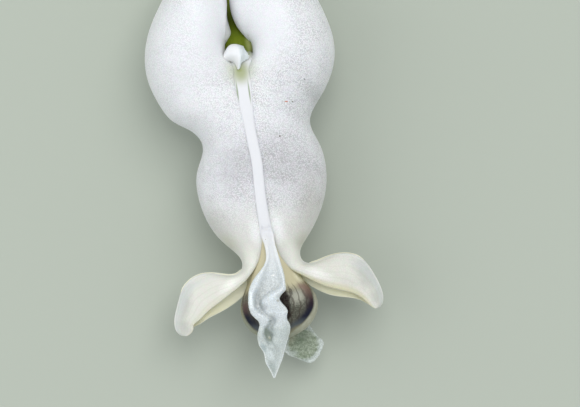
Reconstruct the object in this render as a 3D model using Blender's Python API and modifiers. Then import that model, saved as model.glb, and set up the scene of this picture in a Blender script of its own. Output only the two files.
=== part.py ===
"""Squirrel corn (Dicentra canadensis): one picked flower with its stalk, lying on its back.

Run with: blender --background --python part.py

The flower is drawn in its own frame, in millimetres: the origin is the middle of the receptacle,
where stalk and petals meet, +Y runs up to the spurs, -Y down to the open mouth, +X is the right
petal and +Z the front face. Every mesh is turned into metres as it is made. At the end the whole
flower is lifted and shifted, so that it lies on the ground with its box centred on the origin.
"""

import math

import bmesh
import bpy
import numpy as np

MM = 0.001
WELD = 1e-7  # metres

# Driving dimensions, in millimetres
OUTER_WALL = 0.13  # thickness of an outer petal
INNER_WALL = 0.10  # thickness of an inner petal's hood
SEPAL_WALL = 0.07
STALK_RADIUS = 0.19
RECEPTACLE_RADIUS = 0.385
FILAMENT_RADIUS = 0.085
FILAMENT_PITCH = 0.13  # between filaments where they are grown together, less than their diameter
ANTHER_PITCH = 0.40
ANTHER_RADIUS = 0.14
STAMEN_STEP = 0.05  # the outer two stamens of a bundle stand this much nearer the middle line
LIP_ROUNDING = 0.35  # share of a crest lip's height that its rounded edge takes
CREST_FOOT = 0.12  # half width of a crest's root, as a share of its whole width
CREST_KNEE = 0.45  # how far out, from root to lip, a crest's side is at half its height

# Mesh fineness: ribs along a petal and points round one of its halves
OUTER_STATIONS, OUTER_ROUND = 36, 9
INNER_STATIONS, INNER_ROUND = 26, 6
CREST_STATIONS = 36
SEPAL_STATIONS, SEPAL_ACROSS = 8, 5
# and the same for the round stems: points along one, and steps in each quarter turn
STALK_STATIONS, STALK_ROUND = 26, 3
PISTIL_STATIONS, PISTIL_ROUND = 24, 2
FILAMENT_STATIONS, ANTHER_STATIONS, STAMEN_ROUND = 15, 6, 1

# Outer petals. Each row is one rib of the pouch, from the base round the spur and down to the tip:
# keel x, y; front edge x, y; height of the edge above the middle plane; greatest half depth of the
# rib; how far the back edge hangs below the front one.
RIGHT_RIBS = (
    (0.24, 0.64, 0.30, 0.48, 0.18, 0.22, 0.00),  # base, beside the stalk
    (0.09, 0.90, 0.37, 0.36, 0.20, 0.50, 0.00),
    (-0.06, 1.30, 0.43, 0.24, 0.22, 0.80, 0.00),
    (-0.19, 1.82, 0.46, 0.14, 0.24, 1.08, 0.00),
    (0.04, 2.66, 0.47, 0.02, 0.26, 1.35, 0.00),
    (0.90, 3.31, 0.46, -0.09, 0.30, 1.75, 0.00),  # top of the spur
    (1.93, 3.34, 0.44, -0.20, 0.36, 2.05, 0.00),
    (2.73, 2.40, 0.40, -0.33, 0.46, 2.20, 0.00),
    (3.26, 1.20, 0.34, -0.46, 0.60, 2.25, 0.00),
    (3.56, -0.13, 0.26, -0.61, 0.80, 2.25, 0.00),  # widest
    (3.39, -1.18, 0.20, -0.80, 1.00, 2.20, 0.00),
    (2.86, -2.10, 0.17, -1.09, 1.22, 2.05, 0.00),
    (2.36, -2.80, 0.17, -1.54, 1.40, 1.90, 0.00),
    (2.31, -3.29, 0.08, -2.11, 1.48, 1.80, 0.00),  # waist
    (2.57, -4.00, 0.08, -2.96, 1.50, 1.75, 0.00),
    (2.67, -5.16, 0.14, -4.22, 1.50, 1.75, 0.00),  # belly
    (2.34, -6.33, 0.19, -5.44, 1.48, 1.72, 0.00),
    (1.72, -7.32, 0.27, -6.59, 1.38, 1.52, 0.00),
    (1.34, -7.84, 0.56, -7.60, 1.16, 1.25, 0.00),  # neck
    (1.35, -8.21, 0.84, -8.35, 0.96, 1.02, 0.10),
    (1.71, -8.38, 1.31, -8.87, 0.80, 0.83, 0.23),
    (2.33, -8.22, 1.91, -9.21, 0.68, 0.69, 0.29),
    (2.99, -8.16, 2.45, -9.46, 0.58, 0.58, 0.29),  # turned-out wing
    (3.62, -8.44, 3.00, -9.66, 0.48, 0.48, 0.22),
    (4.03, -9.14, 3.37, -9.88, 0.38, 0.38, 0.14),
    (4.24, -9.83, 3.60, -10.13, 0.29, 0.29, 0.05),
    (4.19, -10.22, 3.74, -10.30, 0.23, 0.23, 0.00),
    (4.04, -10.38, 3.88, -10.40, 0.19, 0.19, 0.00),  # tip
)
LEFT_RIBS = (
    (-0.38, 0.60, -0.43, 0.46, 0.18, 0.22, 0.00),  # base, beside the stalk
    (-0.41, 0.87, -0.48, 0.36, 0.20, 0.50, 0.00),
    (-0.38, 1.33, -0.53, 0.26, 0.22, 0.80, 0.00),
    (-0.28, 1.88, -0.56, 0.18, 0.24, 1.08, 0.00),
    (-0.50, 2.78, -0.57, 0.08, 0.26, 1.35, 0.00),
    (-1.14, 3.41, -0.57, -0.02, 0.30, 1.75, 0.00),  # top of the spur
    (-1.97, 3.13, -0.55, -0.12, 0.36, 2.05, 0.00),
    (-2.74, 2.16, -0.51, -0.24, 0.46, 2.20, 0.00),
    (-3.32, 1.17, -0.45, -0.36, 0.60, 2.25, 0.00),
    (-3.63, 0.18, -0.37, -0.51, 0.80, 2.25, 0.00),  # widest
    (-3.63, -0.77, -0.31, -0.70, 1.00, 2.20, 0.00),
    (-3.34, -1.68, -0.28, -1.01, 1.22, 2.10, 0.00),
    (-2.88, -2.42, -0.28, -1.43, 1.37, 2.00, 0.00),
    (-2.22, -2.88, -0.16, -1.97, 1.48, 1.88, 0.00),
    (-1.86, -3.54, -0.08, -2.86, 1.50, 1.78, 0.00),  # waist
    (-2.17, -4.37, -0.01, -3.86, 1.50, 1.75, 0.00),
    (-2.28, -5.23, 0.03, -4.82, 1.50, 1.75, 0.00),  # belly
    (-2.09, -6.21, 0.03, -5.77, 1.46, 1.68, 0.00),
    (-1.60, -7.14, 0.02, -6.68, 1.36, 1.50, 0.00),
    (-1.00, -7.82, -0.11, -7.51, 1.16, 1.25, 0.00),  # neck
    (-0.93, -8.21, -0.35, -8.09, 0.98, 1.04, 0.14),
    (-1.23, -8.48, -0.76, -8.69, 0.82, 0.85, 0.38),
    (-1.87, -8.37, -1.38, -9.11, 0.70, 0.71, 0.45),
    (-2.58, -8.30, -1.96, -9.45, 0.60, 0.60, 0.38),  # turned-out wing
    (-3.21, -8.66, -2.45, -9.75, 0.50, 0.50, 0.26),
    (-3.53, -9.29, -2.81, -10.04, 0.40, 0.40, 0.15),
    (-3.74, -9.91, -3.05, -10.26, 0.30, 0.30, 0.06),
    (-3.71, -10.32, -3.18, -10.45, 0.23, 0.23, 0.00),
    (-3.54, -10.54, -3.34, -10.57, 0.19, 0.19, 0.00),  # tip
)

# Inner petals, claw and hooded blade, from the receptacle to the closed mouth:
# middle x, y; half width; height of the edges; height of the crown above the edges;
# roundness of the crown (1 is a round arch, less is flatter with firmer corners).
INNER_PROFILE = (
    (-0.04, -0.46, 0.14, 0.24, 0.16, 0.60),  # foot, on the receptacle
    (-0.05, -0.80, 0.17, 0.66, 0.17, 0.60),
    (-0.06, -1.15, 0.18, 1.13, 0.17, 0.60),
    (-0.05, -1.55, 0.18, 1.48, 0.18, 0.60),
    (-0.03, -2.00, 0.19, 1.60, 0.18, 0.60),
    (0.01, -2.74, 0.19, 1.62, 0.18, 0.60),
    (0.06, -3.88, 0.19, 1.62, 0.18, 0.60),  # claw, lying on the seam
    (0.11, -5.00, 0.19, 1.61, 0.18, 0.60),
    (0.13, -6.40, 0.20, 1.52, 0.18, 0.60),
    (0.17, -6.95, 0.20, 1.41, 0.19, 0.60),
    (0.18, -7.30, 0.20, 1.14, 0.34, 0.70),
    (0.20, -7.60, 0.29, 0.82, 0.58, 0.80),
    (0.18, -8.00, 0.50, 0.46, 0.88, 1.00),
    (0.19, -8.45, 0.74, 0.24, 1.06, 1.00),
    (0.23, -8.90, 1.03, 0.10, 1.18, 1.00),
    (0.27, -9.35, 1.33, 0.05, 1.25, 1.00),
    (0.28, -9.85, 1.47, 0.05, 1.25, 1.00),  # hood, widest
    (0.26, -10.35, 1.36, 0.05, 1.12, 1.00),
    (0.22, -10.75, 1.06, 0.05, 0.86, 1.00),
    (0.20, -11.00, 0.62, 0.05, 0.50, 1.00),
    (0.20, -11.10, 0.24, 0.05, 0.24, 1.00),  # closed mouth
)

# Crests: an open, wavy gutter that stands on the back of each inner petal and runs out past it.
# y; left lip's outer and inner edge; right lip's inner and outer edge; height of the left lip,
# of the right lip, of the gutter's floor and of its root.
FRONT_CREST = (
    (-6.90, 0.04, 0.12, 0.21, 0.30, 1.56, 1.56, 1.56, 1.42),
    (-7.40, 0.00, 0.12, 0.28, 0.41, 1.60, 1.60, 1.58, 1.28),
    (-7.95, 0.01, 0.14, 0.36, 0.50, 1.68, 1.68, 1.62, 1.10),
    (-8.32, -0.17, 0.02, 0.42, 0.57, 1.80, 1.82, 1.66, 1.10),
    (-8.70, -0.55, -0.28, 0.46, 0.63, 1.92, 1.94, 1.66, 1.12),
    (-9.08, -0.78, -0.50, 0.44, 0.64, 2.02, 2.04, 1.66, 1.15),
    (-9.29, -0.83, -0.58, 0.06, 0.60, 2.06, 2.14, 1.66, 1.15),
    (-9.50, -0.86, -0.62, -0.30, 0.37, 2.08, 2.18, 1.64, 1.15),
    (-9.75, -0.84, -0.61, -0.34, 0.44, 2.06, 2.14, 1.66, 1.15),
    (-9.98, -0.77, -0.47, -0.26, 0.59, 1.98, 2.06, 1.76, 1.12),
    (-10.14, -0.66, -0.28, -0.10, 0.58, 1.93, 2.02, 1.84, 1.06),
    (-10.36, -0.47, -0.10, 0.12, 0.54, 1.86, 1.95, 1.66, 0.98),
    (-10.58, -0.56, -0.30, -0.04, 0.62, 1.80, 1.90, 1.54, 0.90),
    (-10.85, -0.68, -0.38, -0.07, 0.59, 1.76, 1.84, 1.34, 0.80),
    (-11.08, -0.68, -0.36, -0.12, 0.49, 1.70, 1.76, 1.42, 0.80),
    (-11.28, -0.64, -0.30, -0.06, 0.40, 1.66, 1.70, 1.56, 0.98),
    (-11.52, -0.52, -0.32, 0.06, 0.30, 1.56, 1.60, 1.51, 1.12),
    (-11.84, -0.50, -0.36, 0.03, 0.17, 1.48, 1.50, 1.41, 1.14),
    (-12.06, -0.43, -0.33, -0.05, 0.05, 1.42, 1.43, 1.36, 1.15),
    (-12.30, -0.33, -0.27, -0.13, -0.08, 1.35, 1.35, 1.31, 1.15),
    (-12.52, -0.26, -0.24, -0.22, -0.20, 1.28, 1.28, 1.27, 1.19),
)
BACK_CREST = (
    (-6.90, 0.04, 0.12, 0.21, 0.30, 1.56, 1.56, 1.56, 1.42),
    (-7.40, 0.00, 0.12, 0.28, 0.41, 1.60, 1.60, 1.58, 1.28),
    (-8.00, 0.00, 0.12, 0.34, 0.46, 1.70, 1.70, 1.60, 1.10),
    (-8.50, -0.22, 0.02, 0.40, 0.60, 1.94, 1.94, 1.62, 1.10),
    (-9.00, -0.40, -0.12, 0.46, 0.74, 2.18, 2.18, 1.62, 1.15),
    (-9.50, -0.36, -0.10, 0.40, 0.70, 2.24, 2.24, 1.62, 1.15),
    (-10.00, -0.20, 0.05, 0.62, 0.92, 2.12, 2.12, 1.54, 1.10),
    (-10.40, -0.02, 0.20, 0.92, 1.16, 1.84, 1.84, 1.36, 0.98),
    (-10.70, 0.06, 0.26, 1.14, 1.34, 1.56, 1.56, 1.22, 0.90),
    (-10.95, 0.12, 0.30, 1.36, 1.55, 1.36, 1.36, 1.14, 0.88),
    (-11.20, 0.16, 0.34, 1.55, 1.74, 1.22, 1.22, 1.08, 0.88),
    (-11.44, 0.18, 0.36, 1.65, 1.83, 1.16, 1.16, 1.05, 0.88),
    (-11.68, 0.24, 0.42, 1.60, 1.77, 1.12, 1.12, 1.03, 0.88),
    (-11.90, 0.56, 0.70, 1.50, 1.64, 1.10, 1.10, 1.02, 0.88),
    (-12.07, 0.84, 0.95, 1.34, 1.46, 1.06, 1.06, 1.01, 0.88),
    (-12.16, 1.06, 1.11, 1.24, 1.29, 1.03, 1.03, 1.01, 0.90),
)

# Sepals: rows from the foot on the receptacle to the free tip, points from left to right, x, y, z.
SEPAL_ROWS = (
    ((-0.22, 0.12, 0.40), (-0.05, 0.16, 0.47), (0.12, 0.12, 0.40)),
    ((-0.36, 0.14, 0.74), (-0.10, 0.20, 0.86), (0.15, 0.10, 0.74)),
    ((-0.54, -0.02, 1.26), (-0.15, 0.14, 1.36), (0.27, -0.08, 1.18)),
    ((-0.46, -0.28, 1.58), (-0.15, -0.20, 1.64), (0.27, -0.34, 1.50)),
    ((-0.24, -0.68, 1.66), (-0.17, -0.80, 1.70), (-0.08, -0.66, 1.66)),
)

# Stalk with the receptacle at its end: x, y, z, radius.
STALK_PATH = (
    (-0.05, -0.38, 0.00, 0.16),
    (-0.05, -0.30, 0.00, 0.28),
    (-0.05, -0.16, 0.00, 0.365),
    (-0.07, 0.00, -0.01, RECEPTACLE_RADIUS),
    (-0.09, 0.16, -0.04, 0.355),
    (-0.11, 0.34, -0.13, 0.30),
    (-0.14, 0.60, -0.34, 0.245),
    (-0.16, 0.95, -0.74, 0.20),
    (-0.18, 1.40, -1.14, STALK_RADIUS),
    (-0.19, 2.05, -1.50, STALK_RADIUS),
    (-0.15, 3.05, -1.62, STALK_RADIUS),
    (-0.02, 4.05, -1.46, STALK_RADIUS),
    (0.18, 5.10, -1.06, 0.20),
    (0.44, 6.20, -0.50, 0.215),
)

# Pistil: ovary, style and flat-topped stigma, down the middle line: y, radius.
PISTIL_PATH = (
    (-0.47, 0.10),
    (-0.75, 0.22),
    (-1.50, 0.31),
    (-2.60, 0.33),
    (-3.70, 0.25),
    (-4.50, 0.12),
    (-6.00, 0.075),
    (-8.00, 0.07),
    (-9.60, 0.08),
    (-10.00, 0.15),
    (-10.20, 0.15),
    (-10.30, 0.06),
)

# The middle filament of a bundle: distance from the middle line, y, and how far the outer two have
# parted from it (0 where they are grown together, 1 at the anthers).
FILAMENT_PATH = (
    (0.24, -0.50, 0.0),
    (0.46, -0.85, 0.0),
    (0.62, -1.60, 0.0),
    (0.62, -3.20, 0.0),
    (0.50, -4.80, 0.0),
    (0.36, -6.20, 0.0),
    (0.26, -7.30, 0.05),
    (0.28, -8.10, 0.40),
    (0.34, -8.80, 0.90),
    (0.38, -9.20, 1.0),
)
ANTHER_PATH = ((0.00, FILAMENT_RADIUS), (-0.12, ANTHER_RADIUS), (-0.42, ANTHER_RADIUS), (-0.55, 0.06))


def clear_scene():
    for obj in list(bpy.data.objects):
        bpy.data.objects.remove(obj)


def spline(rows, count):
    """count rows of numbers on one smooth curve (a natural cubic) through the given rows, with the
    first three numbers' distances as its pace."""
    rows = np.array(rows, float)
    steps = np.linalg.norm(np.diff(rows[:, : min(3, rows.shape[1])], axis=0), axis=1)
    knots = np.concatenate([[0], np.cumsum(np.sqrt(steps))])
    gaps = np.diff(knots)
    system, bends = np.eye(len(rows)), np.zeros_like(rows)
    for i in range(1, len(rows) - 1):
        system[i, i - 1 : i + 2] = gaps[i - 1], 2 * (gaps[i - 1] + gaps[i]), gaps[i]
        bends[i] = 6 * ((rows[i + 1] - rows[i]) / gaps[i] - (rows[i] - rows[i - 1]) / gaps[i - 1])
    second = np.linalg.solve(system, bends)
    at = np.linspace(0, knots[-1], count)
    cell = np.clip(np.searchsorted(knots, at) - 1, 0, len(rows) - 2)
    gap = gaps[cell][:, None]
    after = (at - knots[cell])[:, None]
    before = gap - after
    return (
        second[cell] * before**3 / (6 * gap)
        + second[cell + 1] * after**3 / (6 * gap)
        + (rows[cell] / gap - second[cell] * gap / 6) * before
        + (rows[cell + 1] / gap - second[cell + 1] * gap / 6) * after
    )


def grid_mesh(name, grid, around=False, flip=False):
    """A mesh of quads over a grid of points in millimetres, its columns joined round if asked."""
    rows, columns = grid.shape[:2]
    faces = []
    for i in range(rows - 1):
        for j in range(columns if around else columns - 1):
            k = (j + 1) % columns
            face = (i * columns + j, i * columns + k, (i + 1) * columns + k, (i + 1) * columns + j)
            faces.append(face[::-1] if flip else face)
    if around:
        faces.append(tuple(range(columns))[::-1] if not flip else tuple(range(columns)))
        last = tuple((rows - 1) * columns + j for j in range(columns))
        faces.append(last if not flip else last[::-1])
    mesh = bpy.data.meshes.new(name)
    mesh.from_pydata((grid.reshape(-1, 3) * MM).tolist(), [], faces)
    mesh.update()
    return mesh


def add(name, mesh, material):
    obj = bpy.data.objects.new(name, mesh)
    mesh.shade_smooth()
    obj.data.materials.append(material)
    flower.objects.link(obj)
    obj.parent = root
    return obj


def make_material(name, colour, roughness):
    material = bpy.data.materials.new(name)
    material.use_nodes = True
    shader = material.node_tree.nodes["Principled BSDF"]
    shader.inputs["Base Color"].default_value = (*colour, 1)
    shader.inputs["Roughness"].default_value = roughness
    shader.inputs["Metallic"].default_value = 0
    return material


def outer_petal_grid(ribs, stations, round_count):
    """Points of the petal's outer face: for each station a rib, an arc of an ellipse that runs from
    the front edge over the keel to the back edge."""
    grid = []
    for keel_x, keel_y, edge_x, edge_y, edge_z, depth, drop in spline(ribs, stations):
        depth = max(depth, edge_z)
        start = -math.acos(edge_z / depth)
        rib = []
        for angle in np.linspace(start, math.pi - start, 2 * round_count - 1):
            share = (math.sin(angle) - math.sin(start)) / (1 - math.sin(start))
            low_y = edge_y - (drop if angle > math.pi / 2 else 0.0)
            rib.append(
                (
                    edge_x + share * (keel_x - edge_x),
                    low_y + share * (keel_y - low_y),
                    depth * math.cos(angle),
                )
            )
        grid.append(rib)
    return np.array(grid)


def outer_petal(name, ribs, flip, material):
    """A pouched petal: one thin shell, with its spur closed and its front and back edges free."""
    grid = outer_petal_grid(ribs, OUTER_STATIONS, OUTER_ROUND)
    obj = add(name, grid_mesh(name, grid, flip=flip), material)
    wall = obj.modifiers.new("Wall", "SOLIDIFY")
    wall.thickness = OUTER_WALL * MM
    wall.offset = -1
    wall.use_even_offset = False
    return obj


def inner_sections(stations, round_count):
    """Closed sections of claw and blade: an arched outer face and, a wall below it, the hollow."""
    sections = []
    for x, y, half, edge_z, crown, roundness in spline(INNER_PROFILE, stations):
        wall = min(INNER_WALL, half / 2, crown * 0.6)  # thinner where the claw itself is thin
        loop = []
        angles = np.linspace(0, math.pi, round_count + 1)
        for sink, turns in ((0.0, angles), (wall, angles[::-1])):
            for angle in turns:
                side = math.copysign(abs(math.cos(angle)) ** roundness, math.cos(angle))
                rise = max(math.sin(angle), 0.0) ** roundness
                loop.append((x + side * (half - sink), y, edge_z + rise * (crown - sink)))
        sections.append(loop)
    return np.array(sections)


def crest_sections(table, stations):
    """Closed sections of the crest: up the outside of the left lip, through the gutter, over the
    right lip and back down to the root."""
    sections = []
    for row in spline(table, stations):
        y, left_out, left_in, right_in, right_out, left_z, right_z, floor, root_z = row
        left_edge = left_z - LIP_ROUNDING * (left_z - floor)
        right_edge = right_z - LIP_ROUNDING * (right_z - floor)
        middle = (left_out + left_in + right_in + right_out) / 4
        foot = CREST_FOOT * (right_out - left_out)
        left_foot, right_foot = middle - foot, middle + foot
        loop = (
            (left_foot, root_z),
            (left_foot + CREST_KNEE * (left_out - left_foot), (root_z + left_edge) / 2),
            (left_out, left_edge),
            ((left_out + left_in) / 2, left_z),
            (left_in, left_edge),
            ((left_in + right_in) / 2, floor),
            (right_in, right_edge),
            ((right_in + right_out) / 2, right_z),
            (right_out, right_edge),
            (right_foot + CREST_KNEE * (right_out - right_foot), (root_z + right_edge) / 2),
            (right_foot, root_z),
        )
        sections.append([(x, y, z) for x, z in loop])
    return np.array(sections)


def joined(name, solids, material):
    """One solid from some that overlap: their union, made as a mesh of its own."""
    main = bpy.data.objects.new(name, solids[0])
    bpy.context.scene.collection.objects.link(main)
    others = []
    for number, solid in enumerate(solids[1:]):
        other = bpy.data.objects.new(f"{name}_tool_{number}", solid)
        bpy.context.scene.collection.objects.link(other)
        union = main.modifiers.new("Union", "BOOLEAN")
        union.operation = "UNION"
        union.object = other
        others.append(other)
    mesh = shown_mesh(main)
    for obj in [main] + others:
        bpy.data.objects.remove(obj)
    return add(name, mesh, material)


def shown_mesh(obj):
    bpy.context.view_layer.update()
    return bpy.data.meshes.new_from_object(obj.evaluated_get(bpy.context.evaluated_depsgraph_get()))


def stem(name, rows, bevel_resolution):
    """A round stem of changing thickness with closed ends, as a mesh: a bevelled curve along rows
    of x, y, z, radius."""
    curve = bpy.data.curves.new(name, "CURVE")
    curve.dimensions = "3D"
    curve.bevel_depth = MM
    curve.bevel_resolution = bevel_resolution
    curve.use_fill_caps = True
    line = curve.splines.new("POLY")
    line.points.add(len(rows) - 1)
    for point, (x, y, z, radius) in zip(line.points, rows):
        point.co = (x * MM, y * MM, z * MM, 1)
        point.radius = radius
    guide = bpy.data.objects.new(name + "_path", curve)
    bpy.context.scene.collection.objects.link(guide)
    mesh = shown_mesh(guide)
    bpy.data.objects.remove(guide)
    work = bmesh.new()
    work.from_mesh(mesh)
    bmesh.ops.remove_doubles(work, verts=work.verts, dist=WELD)
    bmesh.ops.recalc_face_normals(work, faces=work.faces)
    work.to_mesh(mesh)
    work.free()
    return mesh


def middle_x(y):
    """x of the flower's middle line, down the inner petals."""
    line = sorted((row[1], row[0]) for row in INNER_PROFILE)
    return float(np.interp(y, [at for at, _ in line], [x for _, x in line]))


def inner_petal(name, crest_table, front, material):
    """Claw, hooded blade and crest, grown as one piece. The back petal is the front one mirrored,
    with its own crest."""
    turn = np.array([1, 1, 1 if front else -1])
    blade = inner_sections(INNER_STATIONS, INNER_ROUND) * turn
    crest = crest_sections(crest_table, CREST_STATIONS) * turn
    blade_mesh = grid_mesh(name + "_blade", blade, around=True, flip=front)
    crest_mesh = grid_mesh(name + "_crest", crest, around=True, flip=not front)
    joined(name, [blade_mesh, crest_mesh], material)


def sepal(name, front, material):
    """A small scale that stands up from the receptacle and bends down over the seam."""
    columns = np.array(SEPAL_ROWS).swapaxes(0, 1)
    along = np.array([spline(column, SEPAL_STATIONS) for column in columns])
    grid = np.array([spline(row, SEPAL_ACROSS) for row in along.swapaxes(0, 1)])
    grid = grid * np.array([1, 1, 1 if front else -1])
    obj = add(name, grid_mesh(name, grid, flip=front), material)
    wall = obj.modifiers.new("Wall", "SOLIDIFY")
    wall.thickness = SEPAL_WALL * MM
    wall.offset = -1


def pistil(name, material):
    rows = [(middle_x(y), y, 0.0, radius) for y, radius in spline(PISTIL_PATH, PISTIL_STATIONS)]
    add(name, stem(name, rows, PISTIL_ROUND), material)


def stamen_bundle(name, side, material):
    """Three stamens, their filaments grown together below, each with its own anther."""
    stamens = []
    for place in (-1, 0, 1):
        rows = []
        for away, y, parted in spline(FILAMENT_PATH, FILAMENT_STATIONS):
            pitch = FILAMENT_PITCH + parted * (ANTHER_PITCH - FILAMENT_PITCH)
            x = middle_x(y) + side * (away - STAMEN_STEP * abs(place))
            rows.append((x, y, place * pitch, FILAMENT_RADIUS))
        end_x, end_y, end_z, _ = rows.pop()
        for along, radius in spline(ANTHER_PATH, ANTHER_STATIONS):
            rows.append((end_x, end_y + along, end_z, radius))
        stamens.append(stem(f"{name}_{place + 1}", rows, STAMEN_ROUND))
    joined(name, stamens, material)


def set_down():
    """Lays the flower on the ground, on its back, with its box centred on the origin."""
    points = []
    for obj in flower.objects:
        if obj.type == "MESH":
            mesh = shown_mesh(obj)
            points += [obj.matrix_world @ vertex.co for vertex in mesh.vertices]
            bpy.data.meshes.remove(mesh)
    low = [min(point[axis] for point in points) for axis in range(3)]
    high = [max(point[axis] for point in points) for axis in range(3)]
    root.location = (-(low[0] + high[0]) / 2, -(low[1] + high[1]) / 2, -low[2])
    bpy.context.view_layer.update()


clear_scene()
flower = bpy.data.collections.new("squirrel_corn_flower")
bpy.context.scene.collection.children.link(flower)
root = bpy.data.objects.new("flower_frame", None)
flower.objects.link(root)

white_petal = make_material("white_petal", (0.86, 0.86, 0.84), 0.5)
inner_white = make_material("inner_petal", (0.80, 0.83, 0.84), 0.4)
sepal_white = make_material("sepal", (0.85, 0.87, 0.88), 0.5)
green_stalk = make_material("stalk", (0.22, 0.28, 0.05), 0.5)
pale_green = make_material("pistil", (0.55, 0.65, 0.35), 0.5)
cream = make_material("stamen", (0.85, 0.80, 0.55), 0.6)

outer_petal("outer_petal_right", RIGHT_RIBS, True, white_petal)
outer_petal("outer_petal_left", LEFT_RIBS, False, white_petal)
inner_petal("inner_petal_front", FRONT_CREST, True, inner_white)
inner_petal("inner_petal_back", BACK_CREST, False, inner_white)
sepal("sepal_front", True, sepal_white)
sepal("sepal_back", False, sepal_white)
stalk = stem("pedicel_and_receptacle", spline(STALK_PATH, STALK_STATIONS), STALK_ROUND)
add("pedicel_and_receptacle", stalk, green_stalk)
pistil("pistil", pale_green)
stamen_bundle("stamen_bundle_right", 1, cream)
stamen_bundle("stamen_bundle_left", -1, cream)
set_down()
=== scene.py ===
"""Squirrel corn flower: the fine model, its materials, the light and the camera.

The pieces are drawn in the flower's own frame, in millimetres: the origin is the middle of the
receptacle, +Y runs up to the spurs, -Y down to the open mouth, +X is the right petal and +Z the
front face. Each piece's object carries the scale to metres and the flower's place on the ground, so
that its object coordinates are this frame's millimetres.
"""

import math

import bpy
import numpy as np
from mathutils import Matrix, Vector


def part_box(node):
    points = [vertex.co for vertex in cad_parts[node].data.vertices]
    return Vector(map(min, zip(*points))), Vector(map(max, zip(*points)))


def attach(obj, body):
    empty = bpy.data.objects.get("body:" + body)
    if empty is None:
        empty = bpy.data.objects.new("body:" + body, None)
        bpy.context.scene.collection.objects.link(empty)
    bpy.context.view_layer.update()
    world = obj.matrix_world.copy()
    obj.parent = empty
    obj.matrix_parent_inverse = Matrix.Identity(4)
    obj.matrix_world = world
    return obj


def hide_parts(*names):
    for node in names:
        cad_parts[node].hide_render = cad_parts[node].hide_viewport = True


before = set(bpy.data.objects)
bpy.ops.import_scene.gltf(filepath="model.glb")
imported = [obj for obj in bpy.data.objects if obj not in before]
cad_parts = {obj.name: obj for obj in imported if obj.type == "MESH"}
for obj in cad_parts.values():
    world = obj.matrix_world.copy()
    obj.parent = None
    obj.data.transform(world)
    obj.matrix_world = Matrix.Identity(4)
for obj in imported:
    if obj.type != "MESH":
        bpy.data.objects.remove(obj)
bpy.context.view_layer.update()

MM = 0.001  # metres

# Walls, in millimetres
OUTER_WALL = 0.07
INNER_WALL = 0.10
SEPAL_WALL = 0.05

SEAM_LIFT = 0.35  # how far the outer petals' edges rise to the claw, as a share of their depth
SEAM_LIFT_Y = 0.1, -0.9  # where that rise begins and where it is full
BACK_CUPPING = 1.10  # how far the back edges bend up to the front where they hang below it
CUPPED_DROP = 0.25  # how far they hang down where that bend is full

# Outer petals. Each row is one rib of the pouch, from the base round the spur and down to the tip:
# keel x, y; front edge x, y; height of the edge above the middle plane; greatest half depth of the
# rib; how far the back edge hangs below the front one.
RIGHT_RIBS = (
    (0.10, 0.62, 0.20, 0.46, 0.22, 0.26, 0.00),  # base, beside the stalk
    (-0.03, 0.86, 0.30, 0.32, 0.26, 0.50, 0.00),
    (-0.16, 1.30, 0.40, 0.18, 0.30, 0.80, 0.00),
    (-0.19, 1.82, 0.46, 0.14, 0.24, 1.08, 0.00),
    (0.04, 2.66, 0.47, 0.02, 0.26, 1.35, 0.00),
    (0.90, 3.31, 0.46, -0.09, 0.30, 1.75, 0.00),  # top of the spur
    (1.93, 3.34, 0.44, -0.20, 0.36, 2.05, 0.00),
    (2.73, 2.40, 0.40, -0.33, 0.46, 2.20, 0.00),
    (3.26, 1.20, 0.34, -0.46, 0.60, 2.25, 0.00),
    (3.56, -0.13, 0.26, -0.61, 0.80, 2.25, 0.00),  # widest
    (3.39, -1.18, 0.20, -0.80, 1.00, 2.20, 0.00),
    (2.86, -2.10, 0.20, -1.09, 1.22, 2.05, 0.00),
    (2.36, -2.80, 0.20, -1.54, 1.40, 1.90, 0.00),
    (2.31, -3.29, 0.14, -2.11, 1.48, 1.80, 0.00),  # waist
    (2.57, -4.00, 0.08, -2.96, 1.50, 1.75, 0.00),
    (2.67, -5.16, 0.14, -4.22, 1.50, 1.75, 0.00),  # belly
    (2.34, -6.33, 0.19, -5.44, 1.48, 1.72, 0.00),
    (1.72, -7.32, 0.27, -6.59, 1.46, 1.54, 0.00),
    (1.34, -7.84, 0.44, -7.60, 1.39, 1.42, 0.00),  # neck
    (1.35, -8.21, 0.62, -8.25, 1.18, 1.20, 0.10),
    (1.71, -8.38, 1.20, -8.75, 0.95, 0.96, 0.23),
    (2.33, -8.22, 1.91, -9.21, 0.74, 0.75, 0.29),
    (2.99, -8.16, 2.45, -9.46, 0.58, 0.58, 0.29),  # turned-out wing
    (3.62, -8.44, 3.00, -9.66, 0.48, 0.48, 0.22),
    (4.03, -9.14, 3.37, -9.88, 0.38, 0.38, 0.14),
    (4.24, -9.83, 3.60, -10.13, 0.29, 0.29, 0.05),
    (4.19, -10.22, 3.74, -10.30, 0.23, 0.23, 0.00),
    (4.04, -10.38, 3.88, -10.40, 0.19, 0.19, 0.00),  # tip
)
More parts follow.
